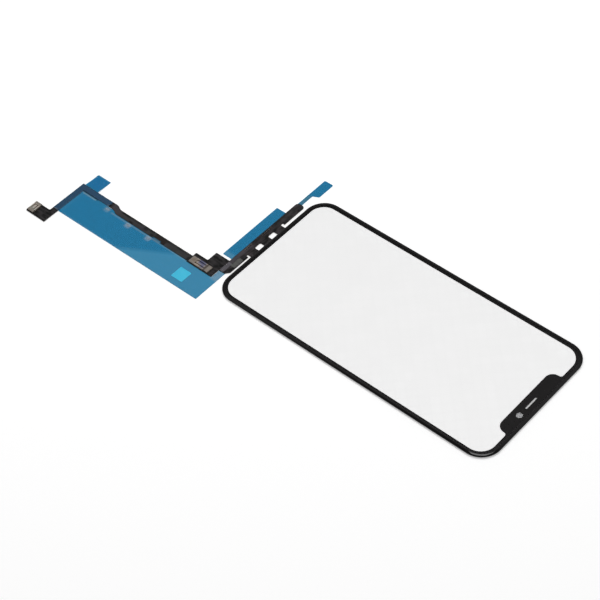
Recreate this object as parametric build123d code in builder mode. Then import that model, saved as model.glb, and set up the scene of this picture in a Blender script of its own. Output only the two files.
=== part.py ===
from build123d import *
import os

os.makedirs("parts", exist_ok=True)

# Touch-screen cover glass with its sensor film, flex circuit and release liners.
# The glass lies face up. The origin is the window's centre on the sensor film's underside,
# +X runs across the screen, +Y runs to the end where the flex leaves, +Z points out of the face.
# Lengths are in millimetres.

# Clear window and the printed border round it
window_width = 62.4
window_length = 135.1
window_corner_radius = 6.78
side_border = 2.53
flex_end_border = 2.35
notch_end_border = 2.74

# Cover glass
glass_thickness = 0.70
glass_corner_radius = 9.17
edge_curve_width = 1.50
edge_curve_drop = 0.36
back_bevel = 0.10

# Notch in the border, with the camera window and the earpiece slot
notch_width = 34.8
notch_depth = 5.03
notch_corner_radius = 3.70
notch_root_radius = 1.13
notch_feature_setback = 4.29
camera_window_diameter = 2.8
camera_window_x = -7.3
earpiece_slot_length = 7.1
earpiece_slot_width = 0.9
earpiece_ink_margin = 0.05

# Layers under the glass, from the sensor film up
sensor_thickness = 0.10
bond_film_thickness = 0.025
optical_adhesive_thickness = 0.20
ink_thickness = 0.04
ink_inset = 0.12
sensor_side_inset = 0.90
sensor_flex_inset = 0.70
sensor_notch_inset = 0.90
notch_film_clearance = 0.60
adhesive_edge_inset = 0.15

# Flex circuit: sheet, strip along the glass and bond legs
flex_thickness = 0.13
flex_corner_radius = 0.30
strip_left = -24.05
strip_right = 25.1
strip_reach = 5.95
strip_gap_left = 1.10
strip_gap_right = 1.70
strip_end_radius = 1.60
strip_heel_length = 1.90
strip_heel_height = 1.50
leg_count = 3
leg_width = 4.75
leg_pitch = 8.2
leg_row_x = 0.2
leg_window_reach = 2.62
leg_window_radius = 0.70
bond_length = 1.25
bond_clearance = 0.20
relief_left_width = 0.80
relief_left_reach = 2.25
relief_right_width = 1.30
relief_right_reach = 2.80
relief_radius = 0.35

# Flex circuit: riser, connector land, tail, arm and end
riser_width = 6.55
riser_length = 7.45
land_drop = 0.10
land_overlap = 1.25
tail_shoulder = 2.15
lower_tail_width = 3.45
lower_tail_length = 16.20
neck_width = 2.50
neck_length = 4.50
upper_tail_width = 3.10
upper_tail_length = 21.8
jog_length = 4.20
jog_offset = 1.25
top_tail_width = 3.10
top_tail_length = 21.1
arm_width = 3.20
arm_length = 20.25
end_length = 11.70
end_corner_radius = 0.90
arm_fillet_radius = 0.60

# Black shield films on the flex
shield_thickness = 0.02
shield_inset = 0.15
strip_shield_inset = 0.45
shield_glass_gap = 0.25
riser_shield_setback = 2.20

# Board connector on the land and end connector on the arm's end
board_connector_length = 10.7
board_connector_width = 3.5
board_connector_low_margin = 2.65
board_connector_far_margin = 0.85
board_connector_left_margin = 0.50
board_connector_right_margin = 2.05
board_contact_count = 13
end_connector_length = 5.65
end_connector_width = 3.45
end_connector_margin = 0.15
end_connector_left_margin = 0.65
end_contact_count = 7
contact_pitch = 0.40
contact_width = 0.18
contact_thickness = 0.07
contact_tail = 0.30
contact_slot_clearance = 0.03
connector_height = 0.60
connector_floor = 0.12
connector_wall = 0.55
connector_tongue_width = 0.90
connector_tongue_drop = 0.10
connector_chamfer = 0.08
connector_end_gap = 0.25
contact_drop = 0.14
fitting_thickness = 0.06
fitting_gap = 0.20
stiffener_thickness = 0.12
stiffener_margin = 0.12

# Chips and capacitors on the strip
left_chip_length = 2.2
left_chip_width = 1.5
middle_chip_length = 2.9
right_chip_length = 2.0
right_chip_width = 1.1
chip_edge_gap = 0.30
left_chip_gap = 0.20
middle_chip_gap = 0.45
right_chip_setback = 1.40
left_capacitor_x = -9.0
left_capacitor_count = 4
right_capacitor_x = 1.9
right_capacitor_count = 5
capacitor_setback = 1.00
chip_thickness = 0.35
chip_corner_radius = 0.08
component_opening = 0.10
capacitor_length = 0.60
capacitor_width = 0.32
capacitor_height = 0.30
capacitor_chamfer = 0.03
capacitor_pitch = 1.30

# Blue release liners with their adhesive
liner_thickness = 0.075
over_adhesive_thickness = 0.05
liner_corner_radius = 0.40
liner_gap = 0.10
adhesive_margin = 0.35
main_liner_reach = 12.90
main_liner_lean = 0.60
main_liner_low_gap = 2.50
main_liner_lobe = 1.60
under_flap_margin = 0.70
ramp_setback = 4.45
ramp_length = 8.0
slit_rise = 2.25
tab_setback = 1.30
tab_length = 7.8
tab_reach = 7.95
strip_liner_left = -16.2
strip_liner_right = 17.55
strip_liner_reach = 5.1
strip_liner_overlap = 1.90
side_liner_overlap = 5.0
side_liner_neck_width = 2.0
side_liner_neck_length = 6.85
side_liner_slope = 1.30
side_liner_pad_length = 9.15
side_liner_pad_width = 4.8
side_liner_drop = 0.35
side_liner_corner_radius = 0.70

# Small pieces on the liners and the strip
square_size = 6.1
square_side_gap = 3.30
square_rise = 7.75
square_thickness = 0.05
dab_length = 2.5
dab_width = 1.5
dab_height = 0.12
dab_taper = 35
dab_setback = 1.40
low_dab_rise = 1.30
high_dab_drop = 0.80
mid_dab_share = 0.62
tape_thickness = 0.03
tape_inset = 0.20
tape_chip_gap = 0.15
tape_step = 5.7
tape_width = 2.2

# Heights of the layers
bond_top = sensor_thickness + bond_film_thickness
ink_bottom = sensor_thickness + optical_adhesive_thickness
glass_bottom = ink_bottom + ink_thickness
flex_bottom = bond_top
flex_top = flex_bottom + flex_thickness
shield_top = flex_top + shield_thickness
over_liner_bottom = shield_top + over_adhesive_thickness
over_liner_top = over_liner_bottom + liner_thickness

# Glass outline in plan
glass_width = window_width + 2 * side_border
glass_length = window_length + flex_end_border + notch_end_border
glass_flex_y = window_length / 2 + flex_end_border
glass_notch_y = -window_length / 2 - notch_end_border
glass_center_y = (glass_flex_y + glass_notch_y) / 2
notch_feature_y = glass_notch_y + notch_feature_setback
sensor_flex_y = glass_flex_y - sensor_flex_inset

# Flex outline in plan
strip_far_y = glass_flex_y + strip_reach
strip_left_y = glass_flex_y + strip_gap_left
strip_right_y = glass_flex_y + strip_gap_right
leg_window_y = glass_flex_y + leg_window_reach
leg_end_y = sensor_flex_y - bond_length
leg_row_left = leg_row_x - (leg_count - 1) / 2 * leg_pitch - leg_width / 2
leg_row_right = leg_row_x + (leg_count - 1) / 2 * leg_pitch + leg_width / 2
riser_right = strip_left + riser_width
riser_far_y = strip_far_y + riser_length
land_right = strip_left + land_overlap
board_connector_x = land_right - board_connector_right_margin - board_connector_width / 2
land_left = board_connector_x - board_connector_width / 2 - board_connector_left_margin
land_low_y = strip_far_y - land_drop
board_connector_y = land_low_y + board_connector_low_margin + board_connector_length / 2
land_far_y = board_connector_y + board_connector_length / 2 + board_connector_far_margin
tail_right = land_right - tail_shoulder
neck_low_y = land_far_y + lower_tail_length
neck_far_y = neck_low_y + neck_length
jog_low_y = neck_far_y + upper_tail_length
jog_far_y = jog_low_y + jog_length
upper_tail_left = tail_right - upper_tail_width
top_tail_right = tail_right + jog_offset
top_tail_left = top_tail_right - top_tail_width
arm_far_y = jog_far_y + top_tail_length
arm_low_y = arm_far_y - arm_width
end_right = top_tail_right - arm_length
end_connector_x = end_right - end_connector_margin - end_connector_length / 2
end_left = end_connector_x - end_connector_length / 2 - end_connector_left_margin
end_far_y = arm_low_y + end_length
end_connector_y = end_far_y - end_connector_margin - contact_tail - end_connector_width / 2

# Liner outline in plan
main_liner_left = land_left - main_liner_reach
main_low_y = glass_flex_y + main_liner_low_gap
main_far_y = arm_far_y - liner_gap
ramp_start = jog_low_y - ramp_setback
ramp_end = ramp_start + ramp_length
slit_y = jog_far_y + slit_rise
under_right = tail_right - under_flap_margin
over_right = top_tail_right - liner_gap

# Chips as left X, right X and the two Y values, then each capacitor row as first X and count
left_chip_right = leg_row_left - relief_left_width - left_chip_gap
left_chip_y = strip_left_y + chip_edge_gap
middle_chip_left = leg_row_right + relief_right_width + middle_chip_gap
right_chip_right = strip_right - right_chip_setback
right_chip_y = strip_right_y + chip_edge_gap
chips = (
    (left_chip_right - left_chip_length, left_chip_right, left_chip_y, left_chip_y + left_chip_width),
    (middle_chip_left, middle_chip_left + middle_chip_length, right_chip_y, right_chip_y + right_chip_width),
    (right_chip_right - right_chip_length, right_chip_right, right_chip_y, right_chip_y + right_chip_width),
)
capacitor_rows = ((left_capacitor_x, left_capacitor_count), (right_capacitor_x, right_capacitor_count))
capacitor_y = strip_far_y - capacitor_setback


def block(left, right, low, high, mode=Mode.ADD):
    """Adds the rectangle between two X values and two Y values to the open sketch."""
    with Locations(((left + right) / 2, (low + high) / 2)):
        Rectangle(right - left, high - low, mode=mode)


def nearest(sketch, x, y):
    """Picks the sketch's corner that lies nearest to a point."""
    return sketch.vertices().sort_by_distance(Vector(x, y))[0]


def s_bend(start, end, heading):
    """Draws two equal arcs from start to end in the open line, leaving and arriving along heading."""
    middle = ((start[0] + end[0]) / 2, (start[1] + end[1]) / 2)
    first = TangentArc(start, middle, tangent=heading)
    TangentArc(middle, end, tangent=first % 1)


# Window outline: a rounded rectangle with the notch standing into its end
with BuildSketch() as window:
    RectangleRounded(window_width, window_length, window_corner_radius)
    notch_edge_y = notch_depth - window_length / 2
    block(-notch_width / 2, notch_width / 2, -window_length / 2, notch_edge_y, Mode.SUBTRACT)
    fillet([nearest(window, s * notch_width / 2, notch_edge_y) for s in (-1, 1)], notch_corner_radius)
    fillet([nearest(window, s * notch_width / 2, -window_length / 2) for s in (-1, 1)], notch_root_radius)

# Film outline: the glass outline drawn in, cut back round the camera and the earpiece
with BuildSketch() as film:
    film_width = glass_width - 2 * sensor_side_inset
    film_length = sensor_flex_y - glass_notch_y - sensor_notch_inset
    with Locations((0, sensor_flex_y - film_length / 2)):
        RectangleRounded(film_width, film_length, glass_corner_radius - sensor_side_inset)
    film_notch = notch_width / 2 - notch_film_clearance
    film_notch_y = notch_edge_y - notch_film_clearance
    block(-film_notch, film_notch, glass_notch_y, film_notch_y, Mode.SUBTRACT)
    film_notch_radius = notch_corner_radius - notch_film_clearance
    fillet([nearest(film, s * film_notch, film_notch_y) for s in (-1, 1)], film_notch_radius)

# Cover glass: a slab whose face falls away to the rim in a quarter ellipse
with BuildPart() as cover_glass:
    with BuildSketch(Plane.XY.offset(glass_bottom)):
        with Locations((0, glass_center_y)):
            RectangleRounded(glass_width, glass_length, glass_corner_radius)
    extrude(amount=glass_thickness)
    chamfer(cover_glass.faces().sort_by(Axis.Z)[0].edges(), back_bevel)
    rim = cover_glass.faces().sort_by(Axis.Z)[-1].outer_wire()
    rim_plane = Plane(origin=rim @ 0, x_dir=Vector(0, 0, 1).cross(rim % 0), z_dir=rim % 0)
    with BuildSketch(rim_plane) as rim_section:
        with BuildLine():
            EllipticalCenterArc(
                (edge_curve_width, -edge_curve_drop),
                edge_curve_width,
                edge_curve_drop,
                start_angle=90,
                arc_size=90,
            )
            Polyline(
                (0, -edge_curve_drop),
                (-edge_curve_drop, -edge_curve_drop),
                (-edge_curve_drop, edge_curve_drop),
                (edge_curve_width, edge_curve_drop),
                (edge_curve_width, 0),
            )
        make_face()
    sweep(sections=rim_section.sketch, path=rim, mode=Mode.SUBTRACT)
    with BuildSketch(Plane.XY.offset(glass_bottom)):
        with Locations((0, notch_feature_y)):
            SlotOverall(earpiece_slot_length, earpiece_slot_width)
    extrude(amount=glass_thickness, mode=Mode.SUBTRACT)
cover_glass.part.label = "cover_glass"
export_step(cover_glass.part, "parts/cover_glass.step")

# Border ink: the black printed frame on the back of the glass
with BuildPart() as border_ink:
    with BuildSketch(Plane.XY.offset(ink_bottom)):
        with Locations((0, glass_center_y)):
            RectangleRounded(
                glass_width - 2 * ink_inset,
                glass_length - 2 * ink_inset,
                glass_corner_radius - ink_inset,
            )
        add(window.sketch, mode=Mode.SUBTRACT)
        with Locations((camera_window_x, notch_feature_y)):
            Circle(camera_window_diameter / 2, mode=Mode.SUBTRACT)
        with Locations((0, notch_feature_y)):
            SlotOverall(
                earpiece_slot_length + 2 * earpiece_ink_margin,
                earpiece_slot_width + 2 * earpiece_ink_margin,
                mode=Mode.SUBTRACT,
            )
    extrude(amount=ink_thickness)
border_ink.part.label = "border_ink"
export_step(border_ink.part, "parts/border_ink.step")

# Optical adhesive: a clear sheet that also fills the window up to the glass
with BuildPart() as optical_adhesive:
    with BuildSketch(Plane.XY.offset(sensor_thickness)):
        add(film.sketch)
        offset(amount=-adhesive_edge_inset)
        block(
            leg_row_left - bond_clearance,
            leg_row_right + bond_clearance,
            leg_end_y - bond_clearance,
            sensor_flex_y,
            Mode.SUBTRACT,
        )
    extrude(amount=optical_adhesive_thickness)
    with BuildSketch(Plane.XY.offset(ink_bottom)):
        add(window.sketch)
    extrude(amount=ink_thickness)
optical_adhesive.part.label = "optical_adhesive"
export_step(optical_adhesive.part, "parts/optical_adhesive.step")

# Touch sensor: the clear film that carries the electrodes
with BuildPart() as touch_sensor:
    with BuildSketch():
        add(film.sketch)
    extrude(amount=sensor_thickness)
touch_sensor.part.label = "touch_sensor"
export_step(touch_sensor.part, "parts/touch_sensor.step")

# Bond films: one strip of conductive adhesive under each leg of the flex
for index, side in enumerate(("left", "center", "right")):
    leg_x = leg_row_x + (index - 1) * leg_pitch
    with BuildPart() as bond_film:
        with BuildSketch(Plane.XY.offset(sensor_thickness)):
            block(leg_x - leg_width / 2, leg_x + leg_width / 2, leg_end_y, sensor_flex_y)
        extrude(amount=bond_film_thickness)
    bond_film.part.label = f"bond_film_{side}"
    export_step(bond_film.part, f"parts/bond_film_{side}.step")

# Flex outline: strip, legs, riser, land, tail with its jog, arm and end in one sheet
with BuildSketch() as flex:
    block(strip_left, leg_row_right + relief_right_width, leg_window_y, strip_far_y)
    block(strip_left, leg_row_left, strip_left_y, leg_window_y)
    block(leg_row_right, strip_right, strip_right_y, strip_far_y)
    for index in range(leg_count):
        leg_x = leg_row_x + (index - (leg_count - 1) / 2) * leg_pitch
        block(leg_x - leg_width / 2, leg_x + leg_width / 2, leg_end_y, leg_window_y)
    relief_left_y = glass_flex_y + relief_left_reach
    relief_right_y = glass_flex_y + relief_right_reach
    block(leg_row_left - relief_left_width, leg_row_left, strip_left_y, relief_left_y, Mode.SUBTRACT)
    block(leg_row_right, leg_row_right + relief_right_width, strip_right_y, relief_right_y, Mode.SUBTRACT)
    chamfer(nearest(flex, strip_left, strip_left_y), strip_heel_height, strip_heel_length)
    for index in range(leg_count - 1):
        gap_left = leg_row_left + leg_width + index * leg_pitch
        gap_right = gap_left + leg_pitch - leg_width
        fillet([nearest(flex, x, leg_window_y) for x in (gap_left, gap_right)], leg_window_radius)
    fillet([nearest(flex, strip_right, y) for y in (strip_right_y, strip_far_y)], strip_end_radius)
    fillet(
        [
            nearest(flex, leg_row_left - relief_left_width, relief_left_y),
            nearest(flex, leg_row_left, relief_left_y),
            nearest(flex, leg_row_right, relief_right_y),
            nearest(flex, leg_row_right + relief_right_width, relief_right_y),
        ],
        relief_radius,
    )
    block(strip_left, riser_right, strip_far_y, riser_far_y)
    block(land_left, land_right, land_low_y, land_far_y)
    block(tail_right - lower_tail_width, tail_right, land_far_y, neck_low_y)
    block(tail_right - neck_width, tail_right, neck_low_y, neck_far_y)
    block(upper_tail_left, tail_right, neck_far_y, jog_low_y)
    with BuildLine():
        Line((upper_tail_left, jog_low_y), (tail_right, jog_low_y))
        s_bend((tail_right, jog_low_y), (top_tail_right, jog_far_y), (0, 1))
        Line((top_tail_right, jog_far_y), (top_tail_left, jog_far_y))
        s_bend((top_tail_left, jog_far_y), (upper_tail_left, jog_low_y), (0, -1))
    make_face()
    block(top_tail_left, top_tail_right, jog_far_y, arm_far_y)
    block(end_right, top_tail_right, arm_low_y, arm_far_y)
    block(end_left, end_right, arm_low_y, end_far_y)
    fillet(nearest(flex, end_left, end_far_y), end_corner_radius)
    fillet(
        [
            nearest(flex, end_right, arm_far_y),
            nearest(flex, top_tail_left, arm_low_y),
            nearest(flex, land_right, riser_far_y),
        ],
        arm_fillet_radius,
    )
    fillet(
        [
            nearest(flex, end_left, arm_low_y),
            nearest(flex, end_right, end_far_y),
            nearest(flex, top_tail_right, arm_far_y),
            nearest(flex, riser_right, riser_far_y),
            nearest(flex, riser_right, strip_far_y),
            nearest(flex, land_left, land_low_y),
            nearest(flex, land_right, land_far_y),
            nearest(flex, tail_right, land_far_y),
            nearest(flex, strip_left, land_low_y),
        ],
        flex_corner_radius,
    )

# Flex circuit: the polyimide sheet with its copper tracks inside
with BuildPart() as flex_circuit:
    with BuildSketch(Plane.XY.offset(flex_bottom)):
        add(flex.sketch)
    extrude(amount=flex_thickness)
flex_circuit.part.label = "flex_circuit"
export_step(flex_circuit.part, "parts/flex_circuit.step")

# Connectors as name, contact count, length, width and the plane they stand on, X along the length
connectors = (
    (
        "board_connector",
        board_contact_count,
        board_connector_length,
        board_connector_width,
        Plane(origin=(board_connector_x, board_connector_y, flex_top), x_dir=(0, 1, 0)),
    ),
    (
        "end_connector",
        end_contact_count,
        end_connector_length,
        end_connector_width,
        Plane(origin=(end_connector_x, end_connector_y, flex_top)),
    ),
)

for name, count, length, width, seat in connectors:
    row_length = count * contact_pitch
    end_length_free = (length - row_length) / 2
    fitting_length = end_length_free - fitting_gap
    cavity_width = width - 2 * connector_wall
    tongue_side = connector_tongue_width / 2
    rise_outer = tongue_side + contact_thickness
    roof = connector_height - fitting_thickness

    # Housing: a moulded tray with a tongue, standing on its two ends clear of the contact tails
    with BuildPart() as housing:
        with BuildSketch(seat.offset(contact_thickness)):
            Rectangle(length - 2 * fitting_length, width)
        extrude(amount=connector_height - contact_thickness)
        top_rims = housing.faces().sort_by(Axis.Z)[-1].edges()
        chamfer(top_rims.filter_by(Axis(seat.origin, seat.x_dir)), connector_chamfer)
        with BuildSketch(seat):
            with Locations((-(length - end_length_free) / 2, 0), ((length - end_length_free) / 2, 0)):
                Rectangle(end_length_free - 2 * fitting_thickness, width - 2 * fitting_thickness)
        extrude(amount=roof)
        with BuildSketch(seat.offset(connector_floor)):
            Rectangle(row_length, cavity_width)
        extrude(amount=connector_height, mode=Mode.SUBTRACT)
        with BuildSketch(seat.offset(connector_floor)):
            Rectangle(row_length - 2 * connector_end_gap, connector_tongue_width)
        extrude(amount=connector_height - connector_floor - connector_tongue_drop)
        with BuildSketch(seat):
            with GridLocations(contact_pitch, 0, count, 1):
                Rectangle(
                    contact_width + 2 * contact_slot_clearance,
                    2 * (rise_outer + contact_slot_clearance),
                )
            Rectangle(length, connector_tongue_width, mode=Mode.SUBTRACT)
        extrude(amount=connector_floor, mode=Mode.SUBTRACT)
    housing.part.label = f"{name}_housing"
    export_step(housing.part, f"parts/{name}_housing.step")

    # Contacts: each runs in under the wall and turns up against the tongue
    with BuildPart() as contacts:
        with BuildSketch(seat):
            with GridLocations(contact_pitch, 0, count, 1):
                Rectangle(contact_width, width + 2 * contact_tail)
            Rectangle(length, connector_tongue_width, mode=Mode.SUBTRACT)
        extrude(amount=contact_thickness)
        with BuildSketch(seat.offset(contact_thickness)):
            with GridLocations(contact_pitch, 2 * tongue_side + contact_thickness, count, 2):
                Rectangle(contact_width, contact_thickness)
        extrude(amount=connector_height - contact_thickness - contact_drop)
    contacts.part.label = f"{name}_contacts"
    export_step(contacts.part, f"parts/{name}_contacts.step")

    # Fittings: a folded metal cap over each end of the housing, soldered down
    with BuildPart() as fittings:
        fitting_x = (length - fitting_length) / 2
        with BuildSketch(seat):
            with Locations((-fitting_x, 0), (fitting_x, 0)):
                Rectangle(fitting_length, width)
        extrude(amount=connector_height)
        corners = fittings.edges().filter_by(Axis.Z).group_by(SortBy.DISTANCE)[-1]
        fillet(corners, fitting_thickness)
        fillet(fittings.faces().group_by(Axis.Z)[-1].edges().filter_by(GeomType.LINE), fitting_thickness)
        inner_x = fitting_x - fitting_thickness / 2
        with BuildSketch(seat):
            with Locations((-inner_x, 0), (inner_x, 0)):
                Rectangle(fitting_length - fitting_thickness, width - 2 * fitting_thickness)
        extrude(amount=roof, mode=Mode.SUBTRACT)
    fittings.part.label = f"{name}_fittings"
    export_step(fittings.part, f"parts/{name}_fittings.step")

    # Stiffener: a thin plate under the flex behind the connector
    with BuildPart() as stiffener:
        with BuildSketch(seat.offset(-flex_thickness - stiffener_thickness)):
            RectangleRounded(length + 2 * stiffener_margin, width + 2 * stiffener_margin, flex_corner_radius)
        extrude(amount=stiffener_thickness)
    stiffener.part.label = f"{name}_stiffener"
    export_step(stiffener.part, f"parts/{name}_stiffener.step")

# Shield outline: the flex outline drawn in, with the connectors, chips and capacitors left open
with BuildSketch() as shield:
    add(flex.sketch)
    offset(amount=-shield_inset)
    opening = 2 * (contact_tail + component_opening)
    with Locations((board_connector_x, board_connector_y)):
        Rectangle(
            board_connector_width + opening,
            board_connector_length + 2 * component_opening,
            mode=Mode.SUBTRACT,
        )
    with Locations((end_connector_x, end_connector_y)):
        Rectangle(
            end_connector_length + 2 * component_opening,
            end_connector_width + opening,
            mode=Mode.SUBTRACT,
        )
    for chip_left, chip_right, chip_low, chip_high in chips:
        block(
            chip_left - component_opening,
            chip_right + component_opening,
            chip_low - component_opening,
            chip_high + component_opening,
            Mode.SUBTRACT,
        )
    for first_x, count in capacitor_rows:
        with Locations((first_x + (count - 1) * capacitor_pitch / 2, capacitor_y)):
            Rectangle(
                (count - 1) * capacitor_pitch + capacitor_length + 2 * component_opening,
                capacitor_width + 2 * component_opening,
                mode=Mode.SUBTRACT,
            )

# Strip shield: the black film along the strip and down the bare part of the legs
with BuildPart() as strip_shield:
    with BuildSketch(Plane.XY.offset(flex_top)):
        block(
            strip_left + strip_shield_inset,
            strip_right - strip_shield_inset,
            glass_flex_y + shield_glass_gap,
            strip_far_y - shield_inset,
        )
        add(shield.sketch, mode=Mode.INTERSECT)
    extrude(amount=shield_thickness)
strip_shield.part.label = "strip_shield"
export_step(strip_shield.part, "parts/strip_shield.step")

# Riser shield: the black film over the riser, the connector land and the lower tail
with BuildPart() as riser_shield:
    with BuildSketch(Plane.XY.offset(flex_top)):
        block(land_left, riser_right, strip_far_y, neck_low_y - riser_shield_setback)
        add(shield.sketch, mode=Mode.INTERSECT)
    extrude(amount=shield_thickness)
riser_shield.part.label = "riser_shield"
export_step(riser_shield.part, "parts/riser_shield.step")

# Tail shield: the black film over the upper tail, the arm and the end
with BuildPart() as tail_shield:
    with BuildSketch(Plane.XY.offset(flex_top)):
        block(end_left, top_tail_right, neck_far_y, end_far_y)
        add(shield.sketch, mode=Mode.INTERSECT)
    extrude(amount=shield_thickness)
tail_shield.part.label = "tail_shield"
export_step(tail_shield.part, "parts/tail_shield.step")

# Strip chips: three moulded packages on the strip
with BuildPart() as strip_chips:
    for chip_left, chip_right, chip_low, chip_high in chips:
        with BuildSketch(Plane.XY.offset(flex_top)) as chip_plan:
            block(chip_left, chip_right, chip_low, chip_high)
            fillet(chip_plan.vertices(), chip_corner_radius)
        extrude(amount=chip_thickness)
    chamfer(strip_chips.faces().group_by(Axis.Z)[-1].edges(), chip_corner_radius / 2)
strip_chips.part.label = "strip_chips"
export_step(strip_chips.part, "parts/strip_chips.step")

# Strip capacitors: two rows of small ceramic blocks along the strip's far edge
with BuildPart() as strip_capacitors:
    for first_x, count in capacitor_rows:
        with BuildSketch(Plane.XY.offset(flex_top)):
            with Locations((first_x + (count - 1) * capacitor_pitch / 2, capacitor_y)):
                with GridLocations(capacitor_pitch, 0, count, 1):
                    Rectangle(capacitor_length, capacitor_width)
        extrude(amount=capacitor_height)
    chamfer(strip_capacitors.faces().group_by(Axis.Z)[-1].edges(), capacitor_chamfer)
strip_capacitors.part.label = "strip_capacitors"
export_step(strip_capacitors.part, "parts/strip_capacitors.step")

# Strip tape: a clear stepped tape over the strip's left end
with BuildPart() as strip_tape:
    with BuildSketch(Plane.XY.offset(shield_top)):
        tape_left = strip_left + tape_inset
        tape_low_y = strip_left_y + 2 * tape_inset
        tape_mid_y = strip_far_y - tape_width
        tape_mid_x = tape_left + tape_step
        tape_right = left_chip_right - left_chip_length - tape_chip_gap
        block(tape_left, tape_mid_x, tape_mid_y, strip_far_y - tape_inset)
        block(tape_mid_x - tape_width / 2, tape_right, tape_low_y, tape_mid_y)
    extrude(amount=tape_thickness)
strip_tape.part.label = "strip_tape"
export_step(strip_tape.part, "parts/strip_tape.step")

# Main liner outline: the blue sheet beside the tail, its lobe, under flap, over flap and pull tab
with BuildSketch() as main_liner_plan:
    body_right = land_left - liner_gap
    tab_right = over_right + tab_reach
    tab_far_y = arm_far_y - tab_setback
    block(body_right, top_tail_left, ramp_start, slit_y)
    with BuildSketch(mode=Mode.PRIVATE) as flex_clearance:
        add(flex.sketch)
        offset(amount=liner_gap)
    add(flex_clearance.sketch, mode=Mode.SUBTRACT)
    with BuildLine():
        Polyline(
            (main_liner_left + main_liner_lean / 2, main_low_y),
            (body_right, main_low_y),
            (body_right, main_far_y),
            (main_liner_left - main_liner_lean / 2, main_far_y),
            close=True,
        )
    make_face()
    block(body_right, strip_left + main_liner_lobe, main_low_y, land_low_y - liner_gap)
    block(body_right, under_right, land_far_y + liner_gap, ramp_start)
    block(body_right, over_right, slit_y, main_far_y)
    block(over_right, tab_right, tab_far_y - tab_length, tab_far_y)
    fillet(
        [
            nearest(main_liner_plan, tab_right, tab_far_y - tab_length),
            nearest(main_liner_plan, tab_right, tab_far_y),
            nearest(main_liner_plan, main_liner_left, main_low_y),
            nearest(main_liner_plan, main_liner_left, main_far_y),
        ],
        liner_corner_radius,
    )

# Main liner: flat on the ground beside the lower tail, then rising to lie over the upper tail and arm
with BuildPart() as main_liner:
    with BuildSketch(Plane.YZ.offset(main_liner_left - main_liner_lean)):
        with BuildLine():
            Line((main_low_y, 0), (ramp_start, 0))
            s_bend((ramp_start, 0), (ramp_end, over_liner_bottom), (1, 0))
            Polyline(
                (ramp_end, over_liner_bottom),
                (main_far_y, over_liner_bottom),
                (main_far_y, over_liner_top),
                (ramp_end, over_liner_top),
            )
            s_bend((ramp_end, over_liner_top), (ramp_start, liner_thickness), (-1, 0))
            Polyline((ramp_start, liner_thickness), (main_low_y, liner_thickness), (main_low_y, 0))
        make_face()
    extrude(amount=tab_right + main_liner_lean - main_liner_left)
    with BuildSketch():
        add(main_liner_plan.sketch)
    extrude(amount=over_liner_top, mode=Mode.INTERSECT)
main_liner.part.label = "main_liner"
export_step(main_liner.part, "parts/main_liner.step")

# Corner adhesive: holds the liner's lobe under the strip's left end
with BuildPart() as corner_adhesive:
    with BuildSketch(Plane.XY.offset(liner_thickness)):
        block(
            strip_left + adhesive_margin,
            strip_left + main_liner_lobe - adhesive_margin,
            main_low_y + adhesive_margin,
            land_low_y - liner_gap - adhesive_margin,
        )
    extrude(amount=flex_bottom - liner_thickness)
corner_adhesive.part.label = "corner_adhesive"
export_step(corner_adhesive.part, "parts/corner_adhesive.step")

# Tail adhesive: holds the liner's flap under the lower and upper tail
with BuildPart() as tail_adhesive:
    with BuildSketch(Plane.XY.offset(liner_thickness)):
        block(
            tail_right - neck_width + adhesive_margin,
            under_right - adhesive_margin,
            land_far_y + liner_gap + adhesive_margin,
            ramp_start - adhesive_margin,
        )
    extrude(amount=flex_bottom - liner_thickness)
tail_adhesive.part.label = "tail_adhesive"
export_step(tail_adhesive.part, "parts/tail_adhesive.step")

# Arm adhesive: holds the liner down on top of the upper tail and the arm
with BuildPart() as arm_adhesive:
    with BuildSketch(Plane.XY.offset(shield_top)):
        add(shield.sketch)
        block(main_liner_left, top_tail_right, slit_y, main_far_y, Mode.INTERSECT)
        offset(amount=-adhesive_margin)
    extrude(amount=over_adhesive_thickness)
arm_adhesive.part.label = "arm_adhesive"
export_step(arm_adhesive.part, "parts/arm_adhesive.step")

# Strip liner: the blue sheet that stands out beyond the strip's far edge
with BuildPart() as strip_liner:
    with BuildSketch() as strip_liner_plan:
        strip_liner_low_y = strip_far_y - strip_liner_overlap
        strip_liner_far_y = strip_far_y + strip_liner_reach
        block(strip_liner_left, strip_liner_right, strip_liner_low_y, strip_liner_far_y)
        fillet(strip_liner_plan.vertices().group_by(Axis.Y)[-1], liner_corner_radius)
    extrude(amount=liner_thickness)
strip_liner.part.label = "strip_liner"
export_step(strip_liner.part, "parts/strip_liner.step")

# Strip adhesive: the mounting adhesive under the strip
with BuildPart() as strip_adhesive:
    with BuildSketch(Plane.XY.offset(liner_thickness)):
        block(
            strip_liner_left + adhesive_margin,
            strip_liner_right - adhesive_margin,
            strip_liner_low_y + adhesive_margin,
            strip_far_y - adhesive_margin,
        )
    extrude(amount=flex_bottom - liner_thickness)
strip_adhesive.part.label = "strip_adhesive"
export_step(strip_adhesive.part, "parts/strip_adhesive.step")

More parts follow.
